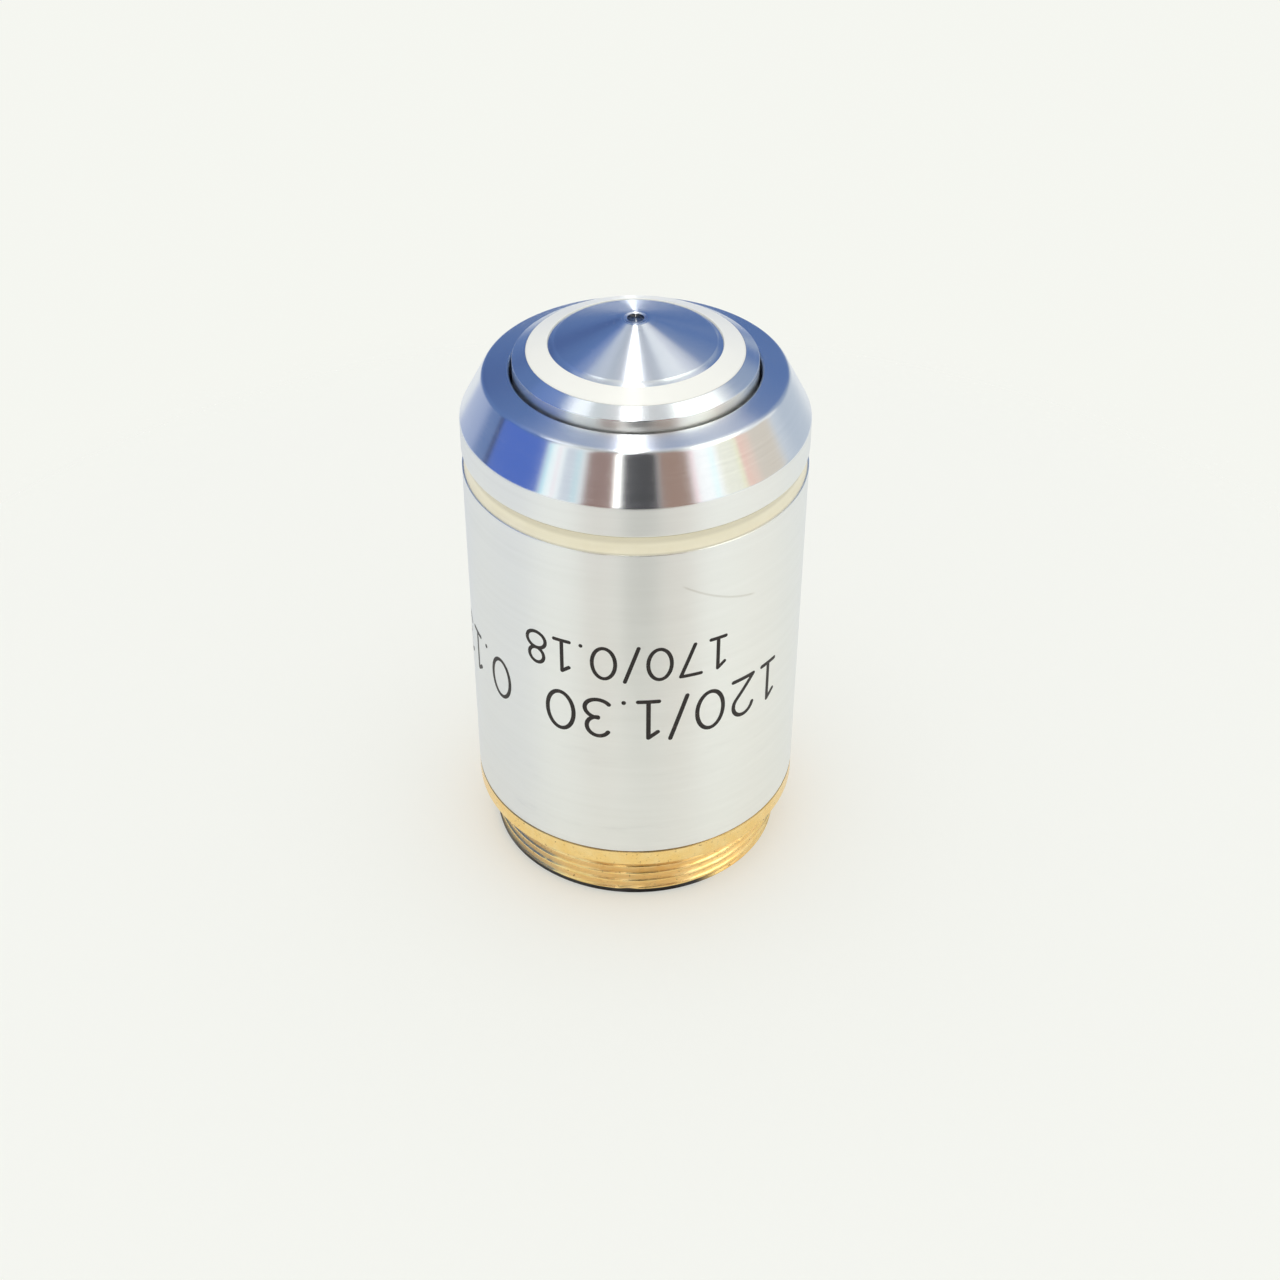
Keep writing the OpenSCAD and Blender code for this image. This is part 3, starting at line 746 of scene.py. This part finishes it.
def make_mount():
    """Flange, guide tube and threaded stub in one piece, with the guide screw's hole."""
    thread_low = THREAD_END + THREAD_CHAMFER
    thread_high = -UNDERCUT_W - (THREAD_R - UNDERCUT_R)
    lower = rounded([
        Corner(GUIDE_BORE_R + THREAD_CHAMFER, THREAD_END),
        Corner(THREAD_R - THREAD_CHAMFER, THREAD_END),
        Corner(THREAD_R, thread_low, 0.0),
        Corner(THREAD_R, thread_high, 0.0),
        Corner(UNDERCUT_R, -UNDERCUT_W),
        Corner(UNDERCUT_R, RELIEF_DEPTH),
        Corner(THREAD_R + RELIEF_W, 0),
        Corner(SHELL_R - EDGE_BREAK, 0),
        Corner(SHELL_R, EDGE_BREAK, 0.08),
        Corner(SHELL_R, SLEEVE_FOOT),
        Corner(SLEEVE_BORE_R, SLEEVE_FOOT),
        Corner(SLEEVE_BORE_R, GUIDE_TOP),
        Corner(GUIDE_BORE_R, GUIDE_TOP),
        Corner(GUIDE_BORE_R, BLACK_BORE_TOP, 0.0),
        Corner(GUIDE_BORE_R, THREAD_END + THREAD_CHAMFER),
    ])
    profile = []
    for i, point in enumerate(lower):
        profile.append(point)
        ahead = lower[(i + 1) % len(lower)]
        on_thread = min(point.x, ahead.x) > UNDERCUT_R - 0.3
        if on_thread and THREAD_END <= point.y < ahead.y <= -UNDERCUT_W + 0.01:
            share = (ahead.y - point.y) / (-UNDERCUT_W - THREAD_END)
            rows = max(1, round(THREAD_ROWS * share))
            for row in range(1, rows):
                profile.append(point.lerp(ahead, row / rows))
    mesh = ring_mesh("threaded_mount", profile, mount_displace)
    piece = smooth_object("threaded_mount", mesh, 50.0)
    drill_guide_hole(piece)

    def finish(r, z):
        return 1 if r < UNDERCUT_R - 0.25 and z < BLACK_BORE_TOP else 0

    dress(piece, ["worn_brass", "black_end"], finish)
    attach(piece, "shell")
    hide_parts("mount_body")
    return piece


def drill_guide_hole(piece):
    """Cuts the guide screw's hole through the guide tube at +Y."""
    work = bmesh.new()
    reach = SLEEVE_BORE_R + 1 - BARREL_R / 2
    middle = Vector((0, (BARREL_R / 2 + reach / 2) * MM, SCREW_Z * MM))
    bmesh.ops.create_cone(
        work, cap_ends=True, segments=48, radius1=SCREW_R * MM, radius2=SCREW_R * MM, depth=reach * MM,
        matrix=Matrix.Translation(middle) @ Matrix.Rotation(math.pi / 2, 4, "X"),
    )
    cutter_mesh = bpy.data.meshes.new("hole_cutter")
    work.to_mesh(cutter_mesh)
    work.free()
    cutter = bpy.data.objects.new("hole_cutter", cutter_mesh)
    bpy.context.scene.collection.objects.link(cutter)
    modifier = piece.modifiers.new("hole", "BOOLEAN")
    modifier.operation = "DIFFERENCE"
    modifier.solver = "EXACT"
    modifier.object = cutter
    graph = bpy.context.evaluated_depsgraph_get()
    cut = bpy.data.meshes.new_from_object(piece.evaluated_get(graph))
    piece.modifiers.clear()
    piece.data = cut
    bpy.data.objects.remove(cutter)


# The spring
def coil_height(turn):
    """Height of the wire's centre after that many turns: closed ends, open turns between."""
    low = 0.3 * WIRE_R
    high = SPRING_TOP - SPRING_FOOT - low
    end_pitch = 2.1 * WIRE_R
    if turn < 1:
        return low + end_pitch * turn
    if turn > SPRING_TURNS - 1:
        return high - end_pitch * (SPRING_TURNS - turn)
    return low + end_pitch + (turn - 1) * (high - low - 2 * end_pitch) / (SPRING_TURNS - 2)


def make_spring():
    """Round wire wound into the ground compression spring, which shortens as the nose goes in."""
    sides = WIRE_SIDES
    rings = SPRING_TURNS * STEPS_A_TURN
    verts = []
    for i in range(rings + 1):
        turn = i / STEPS_A_TURN
        for s in range(sides):
            a = 2 * math.pi * (s + 0.5) / sides
            r = COIL_R + WIRE_R * math.cos(a)
            z = coil_height(turn) + WIRE_R * math.sin(a)
            z = SPRING_FOOT + min(SPRING_TOP - SPRING_FOOT, max(0.0, z))
            verts.append((r * math.cos(2 * math.pi * turn), r * math.sin(2 * math.pi * turn), z))
    faces = [tuple(range(sides)), tuple(rings * sides + s for s in reversed(range(sides)))]
    for i in range(rings):
        for s in range(sides):
            n = (s + 1) % sides
            faces.append((i * sides + s, (i + 1) * sides + s, (i + 1) * sides + n, i * sides + n))
    mesh = bpy.data.meshes.new("coil_spring")
    mesh.from_pydata(verts, [], faces)
    piece = smooth_object("coil_spring", mesh, 60.0)
    dress(piece, ["spring_wire"])
    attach(piece, "shell")
    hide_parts("spring")
    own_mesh(piece)
    return piece


# Digits in a plain engraver's hand, on a unit grid: one unit is the digit's height
def line(*points):
    """A straight stroke through these points, one stroke for each stretch."""
    return [[Vector(a), Vector(b)] for a, b in zip(points, points[1:])]


def arc(x, y, rx, ry, start, end, steps=28):
    """An elliptic stroke about (x, y), from start to end in degrees."""
    turns = [math.radians(start + (end - start) * i / steps) for i in range(steps + 1)]
    return [[Vector((x + rx * math.cos(t), y + ry * math.sin(t))) for t in turns]]


def glyph(character):
    """The strokes of one character and its width."""
    forms = {
        "0": (arc(0.31, 0.5, 0.31, 0.5, 0, 360, 48), 0.62),
        "1": (line((0.04, 0.84), (0.24, 1.0), (0.24, 0.0)) + line((0.02, 0.0), (0.46, 0.0)), 0.48),
        "2": (arc(0.29, 0.71, 0.27, 0.29, 165, -38) + line((0.503, 0.531), (0.02, 0.0), (0.58, 0.0)), 0.60),
        "3": (arc(0.27, 0.74, 0.25, 0.26, 150, -90) + arc(0.27, 0.25, 0.29, 0.25, 90, -145), 0.58),
        "7": (line((0.0, 1.0), (0.56, 1.0), (0.18, 0.0)), 0.56),
        "8": (arc(0.29, 0.76, 0.23, 0.24, 0, 360, 40) + arc(0.29, 0.26, 0.29, 0.26, 0, 360, 40), 0.58),
        "9": (arc(0.29, 0.70, 0.29, 0.30, 0, 360, 40) + arc(0.08, 0.62, 0.50, 0.62, 8, -85), 0.60),
        "/": (line((0.0, -0.06), (0.36, 1.06)), 0.36),
        ".": (line((0.05, 0.02), (0.05, 0.03)), 0.10),
    }
    return forms[character]


def stroke_mesh(verts, faces, stroke, width, place):
    """Adds one stroke with round ends, as a shallow strip laid on the sleeve."""
    path = []
    for i, point in enumerate(stroke):
        before = stroke[max(0, i - 1)]
        after = stroke[min(len(stroke) - 1, i + 1)]
        path.append((point, (after - before).normalized()))
    half = width / 2
    first, last = path[0], path[-1]
    closed = (first[0] - last[0]).length < 1e-6
    rows = []
    if not closed:
        for k in range(1, 7):
            t = math.pi / 2 * (1 - k / 6)
            rows.append((first[0] - first[1] * half * math.sin(t), first[1], half * math.cos(t)))
    rows += [(point, along, half) for point, along in path]
    if not closed:
        for k in range(1, 7):
            t = math.pi / 2 * k / 6
            reach = max(half * math.cos(t), half * 0.02)
            rows.append((last[0] + last[1] * half * math.sin(t), last[1], reach))
    base = len(verts)
    for point, along, reach in rows:
        side = Vector((-along.y, along.x)) * reach
        for offset, depth in ((side, 1), (-side, 1), (-side, 0), (side, 0)):
            verts.append(place(point + offset, depth))
    for i in range(len(rows) - 1):
        for k in range(4):
            n = (k + 1) % 4
            a = base + 4 * i
            faces.append((a + k, a + n, a + 4 + n, a + 4 + k))
    if not closed:
        faces.append(tuple(base + k for k in reversed(range(4))))
        faces.append(tuple(base + 4 * (len(rows) - 1) + k for k in range(4)))


def refined(stroke, step=0.08):
    """A straight stroke cut into short stretches, so that it bends around the sleeve."""
    if len(stroke) > 2:
        return stroke
    count = max(2, math.ceil((stroke[1] - stroke[0]).length / step))
    return [stroke[0].lerp(stroke[1], i / count) for i in range(count + 1)]


def make_digits(name, text, middle_angle, middle_z, height, gap, width):
    """A row of digits on the sleeve that reads upright when the objective hangs nose down."""
    total = sum(glyph(c)[1] for c in text) + gap * (len(text) - 1)
    verts = []
    faces = []
    along = -total / 2
    for character in text:
        strokes, advance = glyph(character)
        for stroke in strokes:
            def place(point, depth, shift=along):
                u = (shift + point.x) * height
                v = (point.y - 0.5) * height
                angle = math.radians(middle_angle) - u / SHELL_R
                r = SHELL_R + (DIGIT_PROUD if depth else -DIGIT_SUNK)
                return (r * math.cos(angle), r * math.sin(angle), middle_z - v)
            stroke_mesh(verts, faces, refined(stroke), width / height, place)
        along += advance + gap
    mesh = bpy.data.meshes.new(name)
    mesh.from_pydata(verts, [], faces)
    work = bmesh.new()
    work.from_mesh(mesh)
    bmesh.ops.remove_doubles(work, verts=work.verts, dist=1e-6)
    bmesh.ops.recalc_face_normals(work, faces=work.faces)
    work.to_mesh(mesh)
    work.free()
    piece = smooth_object(name, mesh, 30.0)
    dress(piece, ["engraving_black"])
    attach(piece, "shell")
    return piece


def dress_solids():
    """Finishes for the solids that stay as they are."""
    finishes = {
        "turned_steel": ["spring_washer", "guide_screw"],
        "anodised_black": [
            "lens_barrel", "cell_spacer", "aperture_stop", "locking_ring", "middle_cell", "rear_cell",
        ],
        "inner_brass": ["focus_shim", "meniscus_cell"],
        "faced_chrome": ["front_cell"],
        "tip_glass": ["front_lens"],
        "crown_glass": ["meniscus_lens", "middle_crown", "rear_crown"],
        "flint_glass": ["middle_flint", "rear_flint"],
    }
    for name, nodes in finishes.items():
        for node in nodes:
            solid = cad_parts[node]
            solid.data.materials.clear()
            solid.data.materials.append(MATERIALS[name])


# The stage, the light and the camera
FLOOR_COLOUR = (0.925, 0.935, 0.89)
BACKDROP_COLOUR = (0.915, 0.925, 0.875)
EVEN_LIGHT = 0.86
FLOOR_R = 60.0
FLOOR_HALF = 20.0

# Share of the backdrop's colour that the floor shows to the eye and in metal
FLOOR_LIFT = 0.4

LAMP_AT = Vector((0.0, -0.1, 1.0))
LAMP_SIZE = 0.9
LAMP_POWER = 1.6

# What stands around the table, as the polished metal mirrors it: azimuth from +Y towards
# +X, elevation, half width, half height and softness in degrees, then the colour
CARDS = {
    "blue_wall": (-31, 21, 82, 31, 3, (0.120, 0.205, 0.44)),
    "blue_wall_left_end": (-98, 12, 20, 16, 2, (0.078, 0.160, 0.58)),
    "blue_wall_left_high": (-70, 48, 17, 12, 3, (0.17, 0.27, 0.58)),
    "blue_wall_seam": (-77, 4, 2.0, 9, 1.2, (0.040, 0.060, 0.17)),
    "blue_wall_shade": (-24, 26, 12, 10, 9, (0.075, 0.125, 0.31)),
    "blue_wall_right_end": (50, 22, 14, 22, 6, (0.33, 0.41, 0.56)),
    "pale_left_corner": (-48, -10, 15, 8, 5, (0.46, 0.53, 0.74)),
    "table_edge": (0, -8, 60, 2.5, 2.5, (0.42, 0.50, 0.70)),
    "blue_haze": (0, 54, 52, 4, 4, (0.30, 0.40, 0.66)),
    "pale_ceiling": (0, 67, 70, 10, 4, (0.52, 0.57, 0.64)),
    "right_of_the_lamp": (30, 53, 14, 8, 3, (0.76, 0.79, 0.86)),
    "above_the_camera": (180, 68, 60, 12, 4, (0.33, 0.33, 0.31)),
    "left_ceiling_window": (-90, 60, 7, 9, 1, (2.2, 2.3, 2.4)),
    "left_ceiling": (-110, 66, 12, 8, 2, (0.56, 0.64, 0.62)),
    "right_ceiling_window": (92, 59, 26, 13, 2, (1.9, 1.95, 1.8)),
    "grey_right_wall": (50, -6, 30, 11, 5, (0.54, 0.61, 0.70)),
    "beige_right_wall": (90, 6, 13, 14, 5, (0.71, 0.64, 0.54)),
    "warm_card": (104, 12, 6, 14, 3, (0.88, 0.65, 0.54)),
    "cream_window": (118, 17, 9, 16, 3, (0.90, 0.90, 0.76)),
    "white_window": (133.5, 20, 10, 18, 2, (1.08, 1.10, 1.10)),
    "bright_high_window": (112, 45, 18, 7, 3, (4.0, 3.9, 3.5)),
    "brown_sleeve_right": (154, 18, 10.5, 36, 2.5, (0.37, 0.25, 0.20)),
    "dark_figure": (177, 15, 12, 39, 3, (0.065, 0.065, 0.07)),
    "brown_sleeve_left": (-157, 18, 10, 36, 2.5, (0.33, 0.225, 0.20)),
    "cyan_strip": (-141, 20, 2.2, 16, 1, (0.60, 0.82, 0.88)),
    "bluish_window": (-135, 20, 4, 16, 1, (0.66, 0.72, 0.80)),
    "white_left_window": (-125.5, 17, 6, 15, 0.8, (1.05, 1.15, 1.14)),
    "light_gap": (-168.3, 27, 1.9, 22, 1, (2.5, 2.45, 2.3)),
    "far_window": (-0.5, 0, 0.45, 24, 0.3, (2.6, 2.7, 2.7)),
    "cyan_edge_left": (-120.3, 17, 0.9, 15, 0.5, (0.45, 0.95, 1.05)),
    "pink_edge_left": (-127.5, 17, 0.7, 15, 0.5, (1.05, 0.72, 0.80)),
    "pink_edge_right": (141.5, 20, 1.0, 18, 0.6, (1.10, 0.74, 0.78)),
    "cyan_edge_right": (128.0, 20, 0.9, 18, 0.6, (0.70, 1.10, 1.10)),
    "yellow_edge_right": (109.5, 15, 0.9, 15, 0.6, (0.95, 1.02, 0.62)),
    "red_edge_right": (105.5, 13, 0.9, 14, 0.6, (0.95, 0.52, 0.44)),
}
OPEN_ROOM_COLOUR = (0.90, 0.93, 0.94)

# The bright lamp tube overhead that the metal mirrors, as shares of a direction's length
TUBE_HALF_X = 0.05
TUBE_SOFT_X = 0.015
TUBE_MIDDLE_X = -0.034
TUBE_SLANT = 0.06
TUBE_LOW_Z = 0.86
TUBE_SOFT_Z = 0.05
TUBE_COLOUR = (5.5, 5.5, 5.5)


def background_rays(graph, mirrored):
    """1 for rays that see the pale background straight on or through glass, or mirrored in metal too."""
    rays = graph.new("LightPath").outputs
    seen = graph.maths("MAXIMUM", rays["Is Camera Ray"], rays["Is Transmission Ray"])
    return graph.maths("MAXIMUM", seen, rays["Is Glossy Ray"]) if mirrored else seen


def make_world():
    """Even soft light for matt surfaces, and a plain room for what the metal mirrors."""
    world = bpy.data.worlds.new("soft_room")
    bpy.context.scene.world = world
    world.use_nodes = True
    world.cycles.sampling_method = "NONE"
    graph = Graph(world.node_tree)
    parts = graph.new("SeparateXYZ", Vector=graph.new("TexCoord").outputs["Generated"])
    x, y, z = parts.outputs
    azimuth = graph.maths("MULTIPLY", graph.maths("ARCTAN2", x, y), math.degrees(1))
    elevation = graph.maths("MULTIPLY", graph.maths("ARCSINE", z), math.degrees(1))
    colour = rgba(OPEN_ROOM_COLOUR)
    for middle, height, half_w, half_h, soft, tint in CARDS.values():
        turned = graph.maths("WRAP", graph.maths("SUBTRACT", azimuth, middle), 180.0, -180.0)
        aside = graph.maths("ABSOLUTE", turned)
        above = graph.maths("ABSOLUTE", graph.maths("SUBTRACT", elevation, height))
        across = graph.span(aside, half_w + soft, half_w - soft, smooth=True)
        upward = graph.span(above, half_h + soft, half_h - soft, smooth=True)
        colour = graph.blend(graph.maths("MULTIPLY", across, upward), colour, tint)
    centred = graph.maths("SUBTRACT", x, TUBE_MIDDLE_X)
    slanted = graph.maths("SUBTRACT", centred, graph.maths("MULTIPLY", y, TUBE_SLANT))
    off_axis = graph.maths("ABSOLUTE", slanted)
    narrow = graph.span(off_axis, TUBE_HALF_X + TUBE_SOFT_X, TUBE_HALF_X - TUBE_SOFT_X, smooth=True)
    overhead = graph.span(z, TUBE_LOW_Z - TUBE_SOFT_Z, TUBE_LOW_Z + TUBE_SOFT_Z, smooth=True)
    colour = graph.blend(graph.maths("MULTIPLY", narrow, overhead), colour, TUBE_COLOUR)
    rays = graph.new("LightPath")
    even = (EVEN_LIGHT, EVEN_LIGHT, EVEN_LIGHT)
    after_matt = graph.maths("MINIMUM", rays.outputs["Diffuse Depth"], 1.0)
    colour = graph.blend(after_matt, colour, even)
    colour = graph.blend(background_rays(graph, False), colour, BACKDROP_COLOUR)
    background = graph.new("Background", Color=colour, Strength=1.0)
    out = graph.new("OutputWorld")
    graph.tree.links.new(background.outputs[0], out.inputs[0])


def make_floor():
    """A pale table top that fades into the backdrop, with the object's shadow on it."""
    half = FLOOR_HALF
    corners = [(-half, -half, 0), (half, -half, 0), (half, half, 0), (-half, half, 0)]
    mesh = bpy.data.meshes.new("floor")
    mesh.from_pydata(corners, [], [(0, 1, 2, 3)])
    floor = bpy.data.objects.new("floor", mesh)
    bpy.context.scene.collection.objects.link(floor)
    floor.location.z = THREAD_END * MM
    made = bpy.data.materials.new("pale_floor")
    made.use_nodes = True
    graph = Graph(made.node_tree)
    _, _, _, r, _ = graph.place()
    top_shader = graph.new("BsdfPrincipled", Roughness=0.6)
    graph.put(top_shader.inputs["Base Color"], rgba(FLOOR_COLOUR))
    graph.put(top_shader.inputs["Specular IOR Level"], 0.1)
    seen = graph.maths("MULTIPLY", background_rays(graph, True), FLOOR_LIFT)
    flat = graph.new("Emission", Color=rgba(BACKDROP_COLOUR), Strength=1.0)
    lifted = graph.new("MixShader")
    graph.put(lifted.inputs[0], seen)
    graph.tree.links.new(top_shader.outputs[0], lifted.inputs[1])
    graph.tree.links.new(flat.outputs[0], lifted.inputs[2])
    beyond = graph.span(r, FLOOR_R, FLOOR_R * 1.25, smooth=True)
    mixed = graph.new("MixShader")
    graph.put(mixed.inputs[0], beyond)
    graph.tree.links.new(lifted.outputs[0], mixed.inputs[1])
    graph.tree.links.new(graph.new("BsdfTransparent").outputs[0], mixed.inputs[2])
    out = graph.new("OutputMaterial")
    graph.tree.links.new(mixed.outputs[0], out.inputs[0])
    mesh.materials.append(made)


def make_lamp():
    """One large soft lamp overhead, which the metal doesn't mirror."""
    data = bpy.data.lights.new("soft_key", "AREA")
    data.shape = "DISK"
    data.size = LAMP_SIZE
    data.energy = LAMP_POWER
    lamp = bpy.data.objects.new("soft_key", data)
    lamp.visible_glossy = False
    lamp.location = LAMP_AT
    lamp.rotation_euler = (-LAMP_AT).to_track_quat("-Z", "Y").to_euler()
    bpy.context.scene.collection.objects.link(lamp)


CAMERA_AT = Vector((0.0, -109.215, 96.352))
CAMERA_PITCH = math.radians(38.046)
CAMERA_YAW = math.radians(0.166)
CAMERA_ROLL = math.radians(0.139)
FOCAL_MM = 55.84
SENSOR_MM = 36.0


def make_camera():
    data = bpy.data.cameras.new("camera")
    data.lens = FOCAL_MM
    data.sensor_width = SENSOR_MM
    data.clip_start = 0.005
    data.clip_end = 100.0
    camera = bpy.data.objects.new("camera", data)
    bpy.context.scene.collection.objects.link(camera)
    forward = Vector((
        math.sin(CAMERA_YAW) * math.cos(CAMERA_PITCH),
        math.cos(CAMERA_YAW) * math.cos(CAMERA_PITCH),
        -math.sin(CAMERA_PITCH),
    ))
    level = forward.cross(Vector((0, 0, 1))).normalized()
    upright = level.cross(forward)
    right = math.cos(CAMERA_ROLL) * level + math.sin(CAMERA_ROLL) * upright
    up = math.cos(CAMERA_ROLL) * upright - math.sin(CAMERA_ROLL) * level
    turn = Matrix((right, up, -forward)).transposed().to_4x4()
    camera.matrix_world = Matrix.Translation(CAMERA_AT * MM) @ turn
    bpy.context.scene.camera = camera


make_camera()
make_world()
make_floor()
make_lamp()
make_mount()
make_sleeve()
make_seam()
make_cap()
make_nose()
make_code_ring()
make_spring()
dress_solids()
make_digits("digits_power", "120/1.30", -78.0, 13.1, 3.05, 0.235, 0.30)
make_digits("digits_tube", "170/0.18", -93.5, 17.65, 2.44, 0.25, 0.26)
make_digits("digits_distance", "0.13", -157.0, 13.1, 3.05, 0.25, 0.28)

bpy.context.scene.view_settings.view_transform = "Standard"
